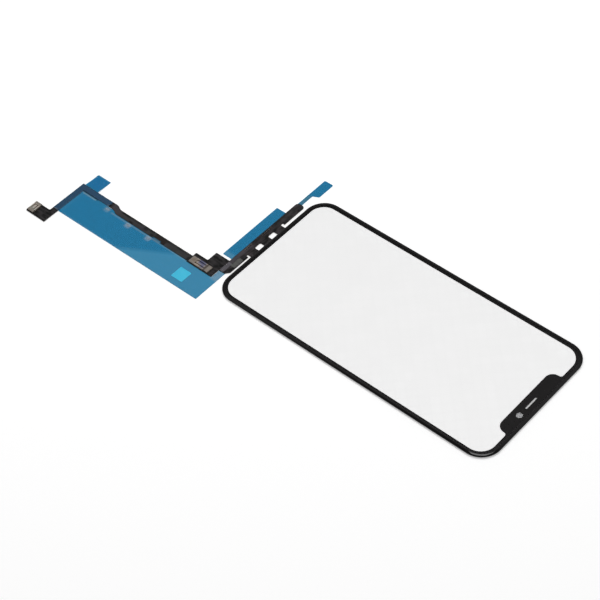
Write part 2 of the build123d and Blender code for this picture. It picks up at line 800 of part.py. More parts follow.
# Side liner: a narrow neck out of the strip's right end, with a wide pull tab
with BuildPart() as side_liner:
    with BuildSketch() as side_liner_plan:
        side_far_y = strip_far_y - side_liner_drop
        neck_right = strip_right + side_liner_neck_length
        pad_left = neck_right + side_liner_slope
        pad_right = pad_left + side_liner_pad_length
        with BuildLine():
            Polyline(
                (strip_right - side_liner_overlap, side_far_y),
                (strip_right - side_liner_overlap, side_far_y - side_liner_neck_width),
                (neck_right, side_far_y - side_liner_neck_width),
                (pad_left, side_far_y - side_liner_pad_width),
                (pad_right, side_far_y - side_liner_pad_width),
                (pad_right, side_far_y),
                close=True,
            )
        make_face()
        fillet(
            [
                nearest(side_liner_plan, neck_right, side_far_y - side_liner_neck_width),
                nearest(side_liner_plan, pad_left, side_far_y - side_liner_pad_width),
                nearest(side_liner_plan, pad_right, side_far_y - side_liner_pad_width),
                nearest(side_liner_plan, pad_right, side_far_y),
            ],
            side_liner_corner_radius,
        )
    extrude(amount=liner_thickness)
side_liner.part.label = "side_liner"
export_step(side_liner.part, "parts/side_liner.step")

# Side adhesive: the mounting adhesive under the strip's right end
with BuildPart() as side_adhesive:
    with BuildSketch(Plane.XY.offset(liner_thickness)):
        block(
            strip_right - side_liner_overlap + adhesive_margin,
            strip_right - adhesive_margin,
            side_far_y - side_liner_neck_width + adhesive_margin,
            side_far_y - adhesive_margin,
        )
    extrude(amount=flex_bottom - liner_thickness)
side_adhesive.part.label = "side_adhesive"
export_step(side_adhesive.part, "parts/side_adhesive.step")

# Liner square: a small cyan sticker on the main liner
with BuildPart() as liner_square:
    square_x = main_liner_left + square_side_gap + square_size / 2
    square_y = land_low_y + square_rise + square_size / 2
    with BuildSketch(Plane.XY.offset(liner_thickness)):
        with Locations((square_x, square_y)):
            RectangleRounded(square_size, square_size, liner_corner_radius)
    extrude(amount=square_thickness)
liner_square.part.label = "liner_square"
export_step(liner_square.part, "parts/liner_square.step")

# Tack dabs: low oval dabs of clear adhesive on the main liner beside the tail
dabs = (
    (upper_tail_left - dab_setback, neck_far_y + low_dab_rise, liner_thickness),
    (upper_tail_left - dab_setback, neck_far_y + mid_dab_share * upper_tail_length, liner_thickness),
    (top_tail_left - dab_setback + liner_gap, slit_y - high_dab_drop, over_liner_top),
)
with BuildPart() as tack_dabs:
    for dab_x, dab_y, dab_z in dabs:
        with BuildSketch(Plane.XY.offset(dab_z)):
            with Locations((dab_x, dab_y)):
                Ellipse(dab_width / 2, dab_length / 2)
        extrude(amount=dab_height, taper=dab_taper)
tack_dabs.part.label = "tack_dabs"
export_step(tack_dabs.part, "parts/tack_dabs.step")
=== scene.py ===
import math

import bpy
import numpy as np
from mathutils import Matrix, Vector


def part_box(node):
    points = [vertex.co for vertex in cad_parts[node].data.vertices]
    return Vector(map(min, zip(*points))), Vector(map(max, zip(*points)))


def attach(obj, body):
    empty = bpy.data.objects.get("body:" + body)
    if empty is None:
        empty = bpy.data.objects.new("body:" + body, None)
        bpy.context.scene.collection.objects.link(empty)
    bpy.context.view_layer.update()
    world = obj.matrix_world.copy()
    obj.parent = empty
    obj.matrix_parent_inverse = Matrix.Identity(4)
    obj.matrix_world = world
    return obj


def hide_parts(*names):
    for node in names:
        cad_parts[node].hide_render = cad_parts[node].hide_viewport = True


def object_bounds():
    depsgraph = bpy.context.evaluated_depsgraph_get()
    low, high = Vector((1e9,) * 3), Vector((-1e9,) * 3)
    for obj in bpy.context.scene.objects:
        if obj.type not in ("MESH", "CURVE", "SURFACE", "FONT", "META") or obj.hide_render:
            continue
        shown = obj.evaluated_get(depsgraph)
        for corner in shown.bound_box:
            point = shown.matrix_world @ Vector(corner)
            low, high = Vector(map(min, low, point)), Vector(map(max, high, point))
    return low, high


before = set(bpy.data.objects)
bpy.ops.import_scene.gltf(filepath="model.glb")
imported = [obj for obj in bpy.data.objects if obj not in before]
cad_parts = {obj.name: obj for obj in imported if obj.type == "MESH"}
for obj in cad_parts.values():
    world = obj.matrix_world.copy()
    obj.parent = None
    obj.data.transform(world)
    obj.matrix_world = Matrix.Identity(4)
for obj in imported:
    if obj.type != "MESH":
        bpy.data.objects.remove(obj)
cad_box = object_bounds()

# A phone's touch-screen cover glass with its sensor film, flex circuit, connectors and blue release films.
# The part lies flat and face up. Sizes are in millimetres here, and become metres in meshes and node trees.

MM = 0.001


def span(node, axis):
    """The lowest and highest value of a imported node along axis 0, 1 or 2, in millimetres."""
    low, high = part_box(node)
    return low[axis] / MM, high[axis] / MM


# The glass, its print and the sensor film
GLASS_X, GLASS_Y, GLASS_Z = (span("cover_glass", axis) for axis in range(3))
CORNER_RADIUS = 9.17
RIM_WIDTH, RIM_DROP, BACK_BEVEL = 1.50, 0.36, 0.10
INK_Z = span("border_ink", 2)
SENSOR_TOP = span("touch_sensor", 2)[1]
FEATURE_Y = GLASS_Y[0] + 4.29
SLOT_HALF = (3.55, 0.45)
CAMERA_WINDOW = (-7.3, FEATURE_Y)
CAMERA_WINDOW_RADIUS = 1.39

# How near to a level a point still counts as lying on it
SKIN = 0.002

# The flex circuit's edges, from what stands a known distance inside them
SHIELD_SETBACK, TAIL_ADHESIVE_SETBACK, ARM_ADHESIVE_SETBACK = 0.15, 0.95, 0.50
TAIL_WIDTH, ARM_WIDTH = 3.10, 3.20
LAND_LEFT = span("riser_shield", 0)[0] - SHIELD_SETBACK
TAIL_LEFT = span("tail_adhesive", 0)[0] - TAIL_ADHESIVE_SETBACK
TOP_TAIL_RIGHT = span("arm_adhesive", 0)[1] + ARM_ADHESIVE_SETBACK
TOP_TAIL_LEFT = TOP_TAIL_RIGHT - TAIL_WIDTH

# The main release film: its outline, and how it drapes onto the tail and the arm. Nothing is shifted on the
# line STILL_X, between its left side and the tail.
FILM_X, FILM_Y = span("main_liner", 0), span("main_liner", 1)
FILM_THICKNESS = span("strip_liner", 2)[1]
FILM_EDGE_GAP = 0.10
ARM_LOW = FILM_Y[1] + FILM_EDGE_GAP - ARM_WIDTH
FILM_LEAN, FILM_RADIUS = 0.60, 0.40
STILL_X, TAIL_MIDDLE_X = -31.0, -26.35
LAND_TUCK, TAIL_TUCK = 0.30, 0.60
LOBE_RIGHT, LOBE_FAR = -22.45, 75.65
FLAP_RIGHT, FLAP_Y = -25.65, (90.05, 128.0)
JOG_Y, JOG_SHIFT = (132.45, 136.65), 1.25
SLIT_Y = 138.9
TUCK_END_Y, TUCK_END_SHIFT = (SLIT_Y - 3.4, SLIT_Y - 1.5), 0.70
TAB_Y = (148.65, 156.45)
DRAPE = 1.15
ADHESIVE_TOP = span("arm_adhesive", 2)[1]
FILM_CLEARANCE = 0.004
TAB_FALL_SHARE, TAB_FALL_X = 0.8, (TOP_TAIL_RIGHT + 0.2, TOP_TAIL_RIGHT + 5.0)


# Colour and nodes


def linear(code):
    """A six-digit sRGB colour as linear red, green and blue, with an alpha of 1."""
    parts = [int(code[i:i + 2], 16) / 255 for i in (1, 3, 5)]
    return tuple(c / 12.92 if c <= 0.04045 else ((c + 0.055) / 1.055) ** 2.4 for c in parts) + (1.0,)


def add(tree, kind, inputs=None, **settings):
    """Adds one node. Settings are its own options. Inputs are values, hex colours, or the nodes and sockets
    that feed it."""
    node = tree.nodes.new(kind)
    for key, value in settings.items():
        setattr(node, key, value)
    for key, value in (inputs or {}).items():
        if isinstance(value, bpy.types.Node):
            value = value.outputs[0]
        if isinstance(value, bpy.types.NodeSocket):
            tree.links.new(value, node.inputs[key])
        else:
            node.inputs[key].default_value = linear(value) if isinstance(value, str) else value
    return node


def start(name):
    """A new material, its emptied node tree, its output node, and the object's own coordinates."""
    material = bpy.data.materials.new(name)
    material.use_nodes = True
    tree = material.node_tree
    tree.nodes.clear()
    place = add(tree, "ShaderNodeTexCoord").outputs["Object"]
    return material, tree, add(tree, "ShaderNodeOutputMaterial"), place


def finish(tree, output, shader):
    """Joins a shader to the material's output."""
    tree.links.new(shader.outputs[0], output.inputs["Surface"])


def per_mm(size):
    """A texture scale that repeats once in this many millimetres."""
    return 1 / (size * MM)


def field(tree, place, x, y, blur):
    """A factor that is 1 inside a rectangle of the plan and falls to 0 over a blur at its four sides."""
    axes = add(tree, "ShaderNodeSeparateXYZ", {0: place})
    factor = None
    for socket, (low, high) in ((axes.outputs["X"], x), (axes.outputs["Y"], y)):
        for near, far in ((low - blur, low + blur), (high + blur, high - blur)):
            side = add(tree, "ShaderNodeMapRange", {
                "Value": socket,
                "From Min": near * MM,
                "From Max": far * MM,
            }, interpolation_type="SMOOTHSTEP")
            if factor is None:
                factor = side
            else:
                factor = add(tree, "ShaderNodeMath", {0: factor, 1: side}, operation="MULTIPLY")
    return factor


# Glass, print and sensor film


def polished_glass():
    """Alkali-aluminosilicate glass, fire-polished and ion-strengthened: clear, mirror-smooth, a breath of
    grey. Its back is bonded, so light leaves there without a bend, and light that comes through from behind
    leaves straight. The curved rim lies over the black print all the way out, so it is drawn as one body
    with the print: deep black under the glass's own mirror skin. The wall of the earpiece slot is ground
    glass, coloured near black as painted shade inside the slot: a matt dark line."""
    material, tree, output, place = start("polished_cover_glass")
    body = add(tree, "ShaderNodeBsdfPrincipled", {
        "Base Color": "#f3f3f3",
        "Roughness": 0.0,
        "IOR": 1.5,
        "Transmission Weight": 1.0,
    })
    straight = add(tree, "ShaderNodeBsdfTransparent", {"Color": "#ffffff"})
    lamps = add(tree, "ShaderNodeBsdfTransparent", {"Color": "#f4f5f5"})
    backed = add(tree, "ShaderNodeBsdfPrincipled", {"Base Color": "#171516", "Roughness": 0.03, "IOR": 1.5})
    # Painted shade: the slot's ground wall is coloured near black for the shade inside the slot.
    slot_wall_shade = add(tree, "ShaderNodeBsdfPrincipled", {"Base Color": "#131314", "Roughness": 0.6})
    height = add(tree, "ShaderNodeSeparateXYZ", {0: place}).outputs["Z"]
    back_level, top_level = (GLASS_Z[0] + SKIN) * MM, (GLASS_Z[1] - SKIN) * MM
    back = add(tree, "ShaderNodeMath", {0: height, 1: back_level}, operation="LESS_THAN")
    top = add(tree, "ShaderNodeMath", {0: height, 1: top_level}, operation="GREATER_THAN")
    inside = add(tree, "ShaderNodeNewGeometry").outputs["Backfacing"]
    leaving = add(tree, "ShaderNodeMath", {0: top, 1: inside}, operation="MULTIPLY")
    clear = add(tree, "ShaderNodeMath", {0: back, 1: leaving}, operation="MAXIMUM")
    flat = add(tree, "ShaderNodeMath", {0: top, 1: back}, operation="MAXIMUM")
    shadow = add(tree, "ShaderNodeLightPath").outputs["Is Shadow Ray"]
    glass = add(tree, "ShaderNodeMixShader", {0: shadow, 1: body, 2: lamps})
    glass = add(tree, "ShaderNodeMixShader", {0: flat, 1: backed, 2: glass})
    glass = add(tree, "ShaderNodeMixShader", {0: clear, 1: glass, 2: straight})
    margin, blur = 0.05, 0.02
    reach, half = (edge + margin for edge in SLOT_HALF)
    slot = field(tree, place, (-reach, reach), (FEATURE_Y - half, FEATURE_Y + half), blur)
    finish(tree, output, add(tree, "ShaderNodeMixShader", {0: slot, 1: glass, 2: slot_wall_shade}))
    return material


def screen_printed_ink():
    """Black glass ink, printed in three passes: deep black, faintly warm, with a very fine mesh grain."""
    material, tree, output, place = start("screen_printed_black_ink")
    grain = add(tree, "ShaderNodeTexNoise", {"Vector": place, "Scale": per_mm(0.12), "Detail": 3.0})
    tone = add(tree, "ShaderNodeMix", {0: grain, "A": "#151314", "B": "#181516"}, data_type="RGBA")
    finish(tree, output, add(tree, "ShaderNodeBsdfPrincipled", {
        "Base Color": tone.outputs["Result"],
        "Roughness": 0.55,
        "Specular IOR Level": 0.0,
    }))
    return material


def clear_adhesive():
    """Optical acrylic adhesive, cast and cured clear, of the glass's own index, so that no face shows."""
    material, tree, output, _ = start("optical_acrylic_adhesive")
    finish(tree, output, add(tree, "ShaderNodeBsdfTransparent", {"Color": "#ffffff"}))
    return material


def routing_traces(tree, place):
    """1 on the silver lines that lead from the electrodes to the flex, behind the black border along both
    long sides. Real ones are 0.03 mm wide, too fine to draw, so these are 0.12 mm on a pitch of 0.28 mm."""
    pitch, width, window_half, film_half = 0.28, 0.12, 31.35, 32.6
    across = add(tree, "ShaderNodeSeparateXYZ", {0: place}).outputs["X"]
    out = add(tree, "ShaderNodeMath", {0: across}, operation="ABSOLUTE")
    within = add(tree, "ShaderNodeMath", {0: out, 1: pitch / 2 * MM}, operation="PINGPONG")
    line = add(tree, "ShaderNodeMath", {0: within, 1: width / 2 * MM}, operation="LESS_THAN")
    past = add(tree, "ShaderNodeMath", {0: out, 1: window_half * MM}, operation="GREATER_THAN")
    before = add(tree, "ShaderNodeMath", {0: out, 1: film_half * MM}, operation="LESS_THAN")
    band = add(tree, "ShaderNodeMath", {0: past, 1: before}, operation="MULTIPLY")
    return add(tree, "ShaderNodeMath", {0: line, 1: band}, operation="MULTIPLY")


def electrode_film():
    """Polyester film with tin-oxide electrodes: clear and glossy, with a barely darker diamond lattice and
    silver routing lines. It shows at its bare underside only, because its upper face is bonded."""
    material, tree, output, place = start("electrode_coated_polyester")
    diamond_pitch = 4.3
    turned = add(tree, "ShaderNodeMapping", {"Vector": place, "Rotation": (0, 0, math.radians(45))})
    lattice = add(tree, "ShaderNodeTexBrick", {
        "Vector": turned,
        "Scale": per_mm(diamond_pitch),
        "Mortar Size": 0.03,
        "Mortar Smooth": 0.4,
        "Brick Width": 1.0,
        "Row Height": 1.0,
        "Color1": "#fafafa",
        "Color2": "#f8f8f8",
        "Mortar": "#f2f2f2",
    }, offset=0.0, offset_frequency=1, squash=1.0, squash_frequency=1)
    through = add(tree, "ShaderNodeBsdfTransparent", {"Color": lattice})
    shine = add(tree, "ShaderNodeBsdfGlossy", {"Color": "#ffffff", "Roughness": 0.06})
    edge = add(tree, "ShaderNodeFresnel", {"IOR": 1.5})
    inside = add(tree, "ShaderNodeNewGeometry").outputs["Backfacing"]
    outside = add(tree, "ShaderNodeMath", {0: 1.0, 1: inside}, operation="SUBTRACT")
    mirror = add(tree, "ShaderNodeMath", {0: edge, 1: outside}, operation="MULTIPLY")
    face = add(tree, "ShaderNodeMixShader", {0: mirror, 1: through, 2: shine})
    silver = add(tree, "ShaderNodeBsdfPrincipled", {
        "Base Color": "#a9a8a4",
        "Metallic": 1.0,
        "Roughness": 0.4,
    })
    face = add(tree, "ShaderNodeMixShader", {0: routing_traces(tree, place), 1: face, 2: silver})
    clean = add(tree, "ShaderNodeBsdfTransparent", {"Color": "#ffffff"})
    height = add(tree, "ShaderNodeSeparateXYZ", {0: place}).outputs["Z"]
    bonded = add(tree, "ShaderNodeMath", {0: height, 1: SKIN * MM}, operation="GREATER_THAN")
    finish(tree, output, add(tree, "ShaderNodeMixShader", {0: bonded, 1: face, 2: clean}))
    return material


# See-through films and adhesives


def tinted_film(name, scattered, share, through, gloss, streak, clouds=()):
    """A dyed see-through film. A share of its face scatters its own colour, more or less by a streak, the
    rest lets a tint pass, and its skin mirrors with the gloss's roughness. The far face is left clear, so
    that the tint counts once for each pass. Each cloud is a function that gives a factor, the colour of its
    haze or of its painted light, and its most. The streaks run along the film, and its skin ripples slowly."""
    streak_width, ripple_length = 2.2, 9.0
    material, tree, output, place = start(name)
    drawn = add(tree, "ShaderNodeMapping", {"Vector": place, "Scale": (1.0, 0.35, 1.0)})
    drift = add(tree, "ShaderNodeTexNoise", {"Vector": drawn, "Scale": per_mm(streak_width), "Detail": 3.0})
    amount = add(tree, "ShaderNodeMapRange", {
        "Value": drift,
        "From Min": 0.3,
        "From Max": 0.7,
        "To Min": share - streak,
        "To Max": share + streak,
    })
    own = add(tree, "ShaderNodeBsdfDiffuse", {"Color": scattered})
    passed = add(tree, "ShaderNodeBsdfTransparent", {"Color": through})
    body = add(tree, "ShaderNodeMixShader", {0: amount, 1: passed, 2: own})
    for shape, colour, most in clouds:
        cloud_shader = add(tree, "ShaderNodeBsdfDiffuse", {"Color": colour})
        factor = add(tree, "ShaderNodeMath", {0: shape(tree, place), 1: most}, operation="MULTIPLY")
        body = add(tree, "ShaderNodeMixShader", {0: factor, 1: body, 2: cloud_shader})
    ripple = add(tree, "ShaderNodeTexNoise", {"Vector": place, "Scale": per_mm(ripple_length), "Detail": 2.0})
    bump = add(tree, "ShaderNodeBump", {"Height": ripple, "Strength": 0.25, "Distance": 0.05 * MM})
    shine = add(tree, "ShaderNodeBsdfGlossy", {"Color": "#ffffff", "Roughness": gloss, "Normal": bump})
    edge = add(tree, "ShaderNodeFresnel", {"IOR": 1.5, "Normal": bump})
    face = add(tree, "ShaderNodeMixShader", {0: edge, 1: body, 2: shine})
    inside = add(tree, "ShaderNodeNewGeometry").outputs["Backfacing"]
    clean = add(tree, "ShaderNodeBsdfTransparent", {"Color": "#ffffff"})
    finish(tree, output, add(tree, "ShaderNodeMixShader", {0: inside, 1: face, 2: clean}))
    return material


def slanting_painted_reflection(tree, place):
    """A wedge at the film's low end, with a straight slanting edge: a painted reflection that lightens the
    film there.
    """
    (edge_x, edge_y), slope, blur = (-39.8, 116.0), -18.0 / 10.5, 2.5
    axes = add(tree, "ShaderNodeSeparateXYZ", {0: place})
    across = add(tree, "ShaderNodeMath", {0: axes.outputs["X"], 1: -slope}, operation="MULTIPLY")
    rise = add(tree, "ShaderNodeMath", {0: axes.outputs["Y"], 1: across}, operation="ADD")
    level = edge_y - slope * edge_x
    return add(tree, "ShaderNodeMapRange", {
        "Value": rise,
        "From Min": (level + blur) * MM,
        "From Max": (level - blur) * MM,
    })


def window_rim(tree, place):
    """The print's feathered rim in its round window: clear in the middle, closing over the last third."""
    middle = (CAMERA_WINDOW[0] * MM, CAMERA_WINDOW[1] * MM, sum(INK_Z) / 2 * MM)
    clear_radius, closed_radius = 1.02, 1.36
    away = add(tree, "ShaderNodeVectorMath", {0: place, 1: middle}, operation="DISTANCE").outputs["Value"]
    return add(tree, "ShaderNodeMapRange", {
        "Value": away,
        "From Min": clear_radius * MM,
        "From Max": closed_radius * MM,
    }, interpolation_type="SMOOTHSTEP")


def patch(x, y, blur):
    """A cloud's factor over a rectangle of the plan."""
    return lambda tree, place: field(tree, place, x, y, blur)


# Release film is polyester, dyed and coated with silicone: see-through blue with a soft gloss
RELEASE_FILM = {"scattered": "#3e759f", "share": 0.36, "through": "#0a9dc3", "gloss": 0.09}
blue_film = tinted_film("blue_polyester_release_film", **RELEASE_FILM, streak=0.03, clouds=(
    (patch((-17.0, -13.8), (75.0, 82.0), 1.0), "#a8dcf2", 0.15),
    (patch((24.0, 31.5), (73.0, 76.0), 1.0), "#8a8c50", 0.18),
))

# The main film's clouds, in order: painted reflection over the low end, painted sheen over the lobe, the edge
# beside the tail, the notch in the tail, halos round the three dabs, milk over the top tail and the arm, a
# painted highlight and a painted shade line beside the top tail's left edge, and the pull tab
main_blue = tinted_film("blue_polyester_release_film_main", **RELEASE_FILM, streak=0.02, clouds=(
    # Painted reflection: a lighter wedge over the film's low end.
    (slanting_painted_reflection, "#8bddfb", 0.17),
    # Painted sheen: grey over the lobe where it lies on the strip.
    (patch((-29.5, -22.0), (72.0, 76.0), 0.8), "#c8ccce", 0.22),
    (patch((-28.95, -28.20), (90.0, 135.5), 0.40), "#b9c6cc", 0.20),
    (patch((-28.70, -27.20), (106.5, 110.3), 0.40), "#66757f", 0.45),
    (patch((-30.6, -28.0), (111.0, 113.4), 0.9), "#c9d2de", 0.36),
    (patch((-30.6, -28.0), (123.0, 125.6), 0.9), "#c9d2de", 0.38),
    (patch((-29.4, -26.9), (136.9, 139.5), 0.9), "#cfe0e6", 0.22),
    (patch((-26.6, -24.0), (139.2, 157.4), 0.4), "#91a1bf", 0.05),
    (patch((-42.0, -26.6), (154.4, 157.4), 0.4), "#91a1bf", 0.035),
    # Painted highlight: a pale line where the film bends over the top tail's left edge.
    (patch((-27.76, -27.34), (146.0, 154.0), 0.30), "#b4ccd4", 0.48),
    # Painted shade: a dark line along the top tail's left edge.
    (patch((-27.16, -26.72), (145.0, 154.4), 0.30), "#071a26", 0.95),
    (patch((-23.2, -16.4), (149.0, 156.2), 0.8), "#0b72b4", 0.45),
))

# Acrylic mounting adhesive, coated on in patches: a pale veil, greyer over the arm, and milky in the dabs
tack = tinted_film("acrylic_mounting_adhesive", scattered="#cfcac4", share=0.25, through="#f2efe9",
                   gloss=0.35, streak=0.05)
arm_tack = tinted_film("acrylic_arm_adhesive", scattered="#84848e", share=0.25, through="#f2efe9",
                       gloss=0.35, streak=0.03)
dab_tack = tinted_film("acrylic_tack_dab", scattered="#d3d6dc", share=0.20, through="#f2f3f4",
                       gloss=0.30, streak=0.08)

# The sticker is polyester, dyed through: bright cyan and nearly opaque
cyan = tinted_film("cyan_polyester_sticker", scattered="#50daff", share=0.92, through="#38c4ff", gloss=0.12,
                   streak=0.03)

# Clear polyester tape, laid over the strip's end: a violet-grey sheen, greener over the first chip
tape = tinted_film("clear_polyester_tape", scattered="#b9b4c0", share=0.20, through="#ffffff", gloss=0.15,
                   streak=0.02, clouds=((patch((-19.5, -13.0), (71.2, 73.8), 0.4), "#5a6250", 0.35),))

# Painted shade in the round window: a grey disc that stands in for the shaded floor seen through it, with a
# soft black rim where the print closes
window_shade = tinted_film("camera_window_painted_shade", scattered="#77777b", share=0.10, through="#7a7a7c", gloss=0.10,
                    streak=0.01, clouds=((window_rim, "#171516", 1.0),))


# Flex circuit and what is on it


def plain_finish(name, low, high, grain, roughness, metallic=0.0, bump=0.0, specular=0.5, stretch=(1, 1, 1),
                 tones=()):
    """An opaque finish whose tone drifts between two colours on a grain of a real size, with a matching
    relief. Each of the tones lays another colour over a rectangle of the plan: its X and Y ranges, the blur
    of its sides, the colour, and its most."""
    material, tree, output, place = start(name)
    drawn = add(tree, "ShaderNodeMapping", {"Vector": place, "Scale": stretch})
    speckle = add(tree, "ShaderNodeTexNoise", {"Vector": drawn, "Scale": per_mm(grain), "Detail": 2.0})
    spread = add(tree, "ShaderNodeMapRange", {"Value": speckle, "From Min": 0.40, "From Max": 0.60})
    tone = add(tree, "ShaderNodeMix", {0: spread, "A": low, "B": high}, data_type="RGBA").outputs["Result"]
    for x, y, blur, colour, most in tones:
        area = field(tree, place, x, y, blur)
        factor = add(tree, "ShaderNodeMath", {0: area, 1: most}, operation="MULTIPLY")
        mix = add(tree, "ShaderNodeMix", {0: factor, "A": tone, "B": colour}, data_type="RGBA")
        tone = mix.outputs["Result"]
    relief = add(tree, "ShaderNodeBump", {"Height": speckle, "Strength": bump, "Distance": 0.01 * MM})
    sheen = add(tree, "ShaderNodeMapRange", {
        "Value": speckle,
        "To Min": roughness - 0.06,
        "To Max": roughness + 0.06,
    })
    finish(tree, output, add(tree, "ShaderNodeBsdfPrincipled", {
        "Base Color": tone,
        "Roughness": sheen,
        "Metallic": metallic,
        "Specular IOR Level": specular,
        "Normal": relief,
    }))
    return material


# Conductive bond film, pressed hot between the circuit and the sensor film: a dull amber edge
bond = plain_finish("conductive_bond_film", "#6b5c45", "#8a7758", grain=0.2, roughness=0.5)

# Polyimide coverlay, laminated over copper and die-cut: near black with a brown cast, satin
polyimide = plain_finish("polyimide_coverlay", "#191412", "#261e1a", grain=0.5, roughness=0.35, bump=0.2)

# Black shield film, pressed hot over tracks and parts: matt, and mottled by the relief under it. Single
# tracks are too fine to show, so the mottling is drawn 1.9 and 1.8 mm coarse, along the strip and along the
# tail. The strip carries a violet-grey painted sheen next to the tape and is greyer at its free end. The tail
# is greyer along its left, dark in three places, and palest at the jog, where a painted sheen lies along it.
strip_black = plain_finish(
    "matt_black_shield_film_strip", "#010201", "#3b3638", grain=1.9, roughness=0.5, bump=0.3, specular=0.4,
    stretch=(0.5, 1.5, 1), tones=(
        # Painted sheen: violet-grey over the strip beside the tape.
        ((-19.0, -5.0), (73.8, 75.6), 0.5, "#625c63", 0.75),
        ((-24.0, 13.0), (73.2, 75.6), 0.5, "#232122", 0.40),
        ((13.0, 25.0), (72.9, 75.6), 0.6, "#3a3738", 0.40),
    ))
tail_black = plain_finish(
    "matt_black_shield_film_tail", "#020302", "#312e2f", grain=1.8, roughness=0.5, bump=0.3, specular=0.4,
    stretch=(1.6, 0.5, 1), tones=(
        ((-30.0, -26.0), (91.0, 131.5), 0.35, "#414142", 0.62),
        ((-30.0, -26.0), (116.0, 119.5), 1.2, "#35313d", 0.6),
        ((-30.0, -26.0), (110.7, 114.0), 1.2, "#2b302e", 0.6),
        ((-28.0, -27.0), (123.5, 125.5), 0.45, "#0a0a0a", 1.0),
        ((-27.9, -26.6), (111.2, 112.9), 0.60, "#0c0c0e", 0.8),
        ((-26.9, -25.7), (115.4, 117.6), 0.60, "#0e0c10", 0.8),
        # Painted sheen: the palest grey along the jog.
        ((-30.0, -23.0), (131.5, 137.6), 0.8, "#403d40", 1.0),
    ))

# Liquid crystal polymer, glass-filled and injection moulded: warm grey tan, matt. The board connector has
# painted navy shade in its middle, a painted shadow line beside its near fitting and a browner far end,
# on its metal too. The end connector is greener on its left and pinker on its right.
board_tones_and_shade = (
    # Painted shade: navy over the connector's middle, where its well lies in shade.
    ((-28.2, -24.2), (81.7, 83.4), 0.6, "#636789", 0.85),
    ((-26.7, -24.2), (83.0, 85.4), 0.6, "#636789", 0.95),
    # Painted shadow: a dark line beside the near fitting.
    ((-28.4, -24.6), (80.2, 81.2), 0.25, "#4f4846", 0.80),
    ((-27.4, -25.6), (86.6, 88.6), 0.8, "#8a7462", 0.6),
)
end_tones = (
    ((-50.0, -47.6), (162.0, 166.0), 1.2, "#a4aaa1", 0.7),
    ((-45.6, -44.0), (162.0, 166.0), 1.0, "#b5a697", 0.7),
)
board_tan = plain_finish("liquid_crystal_polymer_board", "#a3988c", "#b3a79a", grain=0.15, roughness=0.55,
                         bump=0.2, tones=board_tones_and_shade)
end_tan = plain_finish("liquid_crystal_polymer_end", "#b3aaa0", "#c4bab0", grain=0.15, roughness=0.55,
                       bump=0.2, tones=end_tones)

# Hard gold, plated on stamped bronze springs: dull yellow metal. The board connector's copy is painted
# greyer, as shade, and carries the board's painted shade too
gold = plain_finish("gold_plated_contact_spring", "#6e5c3c", "#8a744c", grain=0.2, roughness=0.3,
                    metallic=1.0)
gold_shaded = plain_finish("gold_plated_contact_spring_board", "#6e6152", "#857662", grain=0.2, roughness=0.4,
                           metallic=0.5, tones=board_tones_and_shade)

# Matt tin, plated on stamped fittings: pale grey metal, half hidden by flux
tin = plain_finish("tin_plated_solder_fitting", "#968e84", "#a9a097", grain=0.2, roughness=0.4, metallic=0.4)
# The board connector's copy of the tin carries the board's painted shade and shadow.
tin_shaded = plain_finish("tin_plated_solder_fitting_board", "#968e84", "#a9a097", grain=0.2, roughness=0.4,
                          metallic=0.4, tones=board_tones_and_shade)

# Stainless steel plate, rolled and brushed across: fine bright lines
steel = plain_finish("brushed_stainless_plate", "#83817c", "#a19f99", grain=0.1, roughness=0.35, metallic=1.0,
                     stretch=(1, 12, 1))

# Epoxy moulding compound with a silica filler, moulded: charcoal with a dull, finely pitted face
epoxy = plain_finish("moulded_epoxy_package", "#151517", "#222226", grain=0.1, roughness=0.5, bump=0.3)

# Capacitor ceramic, pressed and sintered: matt brown grey
ceramic = plain_finish("sintered_capacitor_ceramic", "#2e2622", "#3a302a", grain=0.1, roughness=0.5)

MATERIALS = {
    "cover_glass": polished_glass(),
    "border_ink": screen_printed_ink(),
    "optical_adhesive": clear_adhesive(),
    "touch_sensor": electrode_film(),
    "bond_film_left": bond,
    "bond_film_center": bond,
    "bond_film_right": bond,
    "flex_circuit": polyimide,
    "strip_shield": strip_black,
    "riser_shield": tail_black,
    "tail_shield": tail_black,
    "board_connector_housing": board_tan,
    "end_connector_housing": end_tan,
    "board_connector_contacts": gold_shaded,
    "end_connector_contacts": gold,
    "board_connector_fittings": tin_shaded,
    "end_connector_fittings": tin,
    "board_connector_stiffener": steel,
    "end_connector_stiffener": steel,
    "strip_chips": epoxy,
    "strip_capacitors": ceramic,
    "main_liner": main_blue,
    "strip_liner": blue_film,
    "side_liner": blue_film,
    "corner_adhesive": tack,
    "tail_adhesive": tack,
    "arm_adhesive": arm_tack,
    "strip_adhesive": tack,
    "side_adhesive": tack,
    "liner_square": cyan,
    "strip_tape": tape,
    "tack_dabs": dab_tack,
}

for name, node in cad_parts.items():
    node.data.materials.clear()
    node.data.materials.append(MATERIALS[name])


# Pieces made here


def new_piece(name, points, faces, material, smooth=True):
    """A mesh piece that rides on the part. Its points are in millimetres, and its faces have four corners,
    or three and a -1 in the fourth's place."""
    mesh = bpy.data.meshes.new(name)
    corners = [[int(k) for k in face if k >= 0] for face in faces]
    mesh.from_pydata((np.asarray(points) * MM).tolist(), [], corners)
    mesh.materials.append(material)
    mesh.polygons.foreach_set("use_smooth", np.full(len(mesh.polygons), smooth))
    piece = bpy.data.objects.new(name, mesh)
    bpy.context.scene.collection.objects.link(piece)
    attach(piece, "root")
    return piece


def smooth_step(value, start_at, end_at):
    """0 before start_at, 1 after end_at, and 3t^2 - 2t^3 between them."""
    t = np.clip((value - start_at) / (end_at - start_at), 0, 1)
    return t * t * (3 - 2 * t)


def fine_lines(stops, steps):
    """Grid lines through the stops, with each gap between two of them cut into its number of steps."""
    parts = [np.linspace(a, b, n, endpoint=False) for a, b, n in zip(stops[:-1], stops[1:], steps)]
    return np.append(np.concatenate(parts), stops[-1])


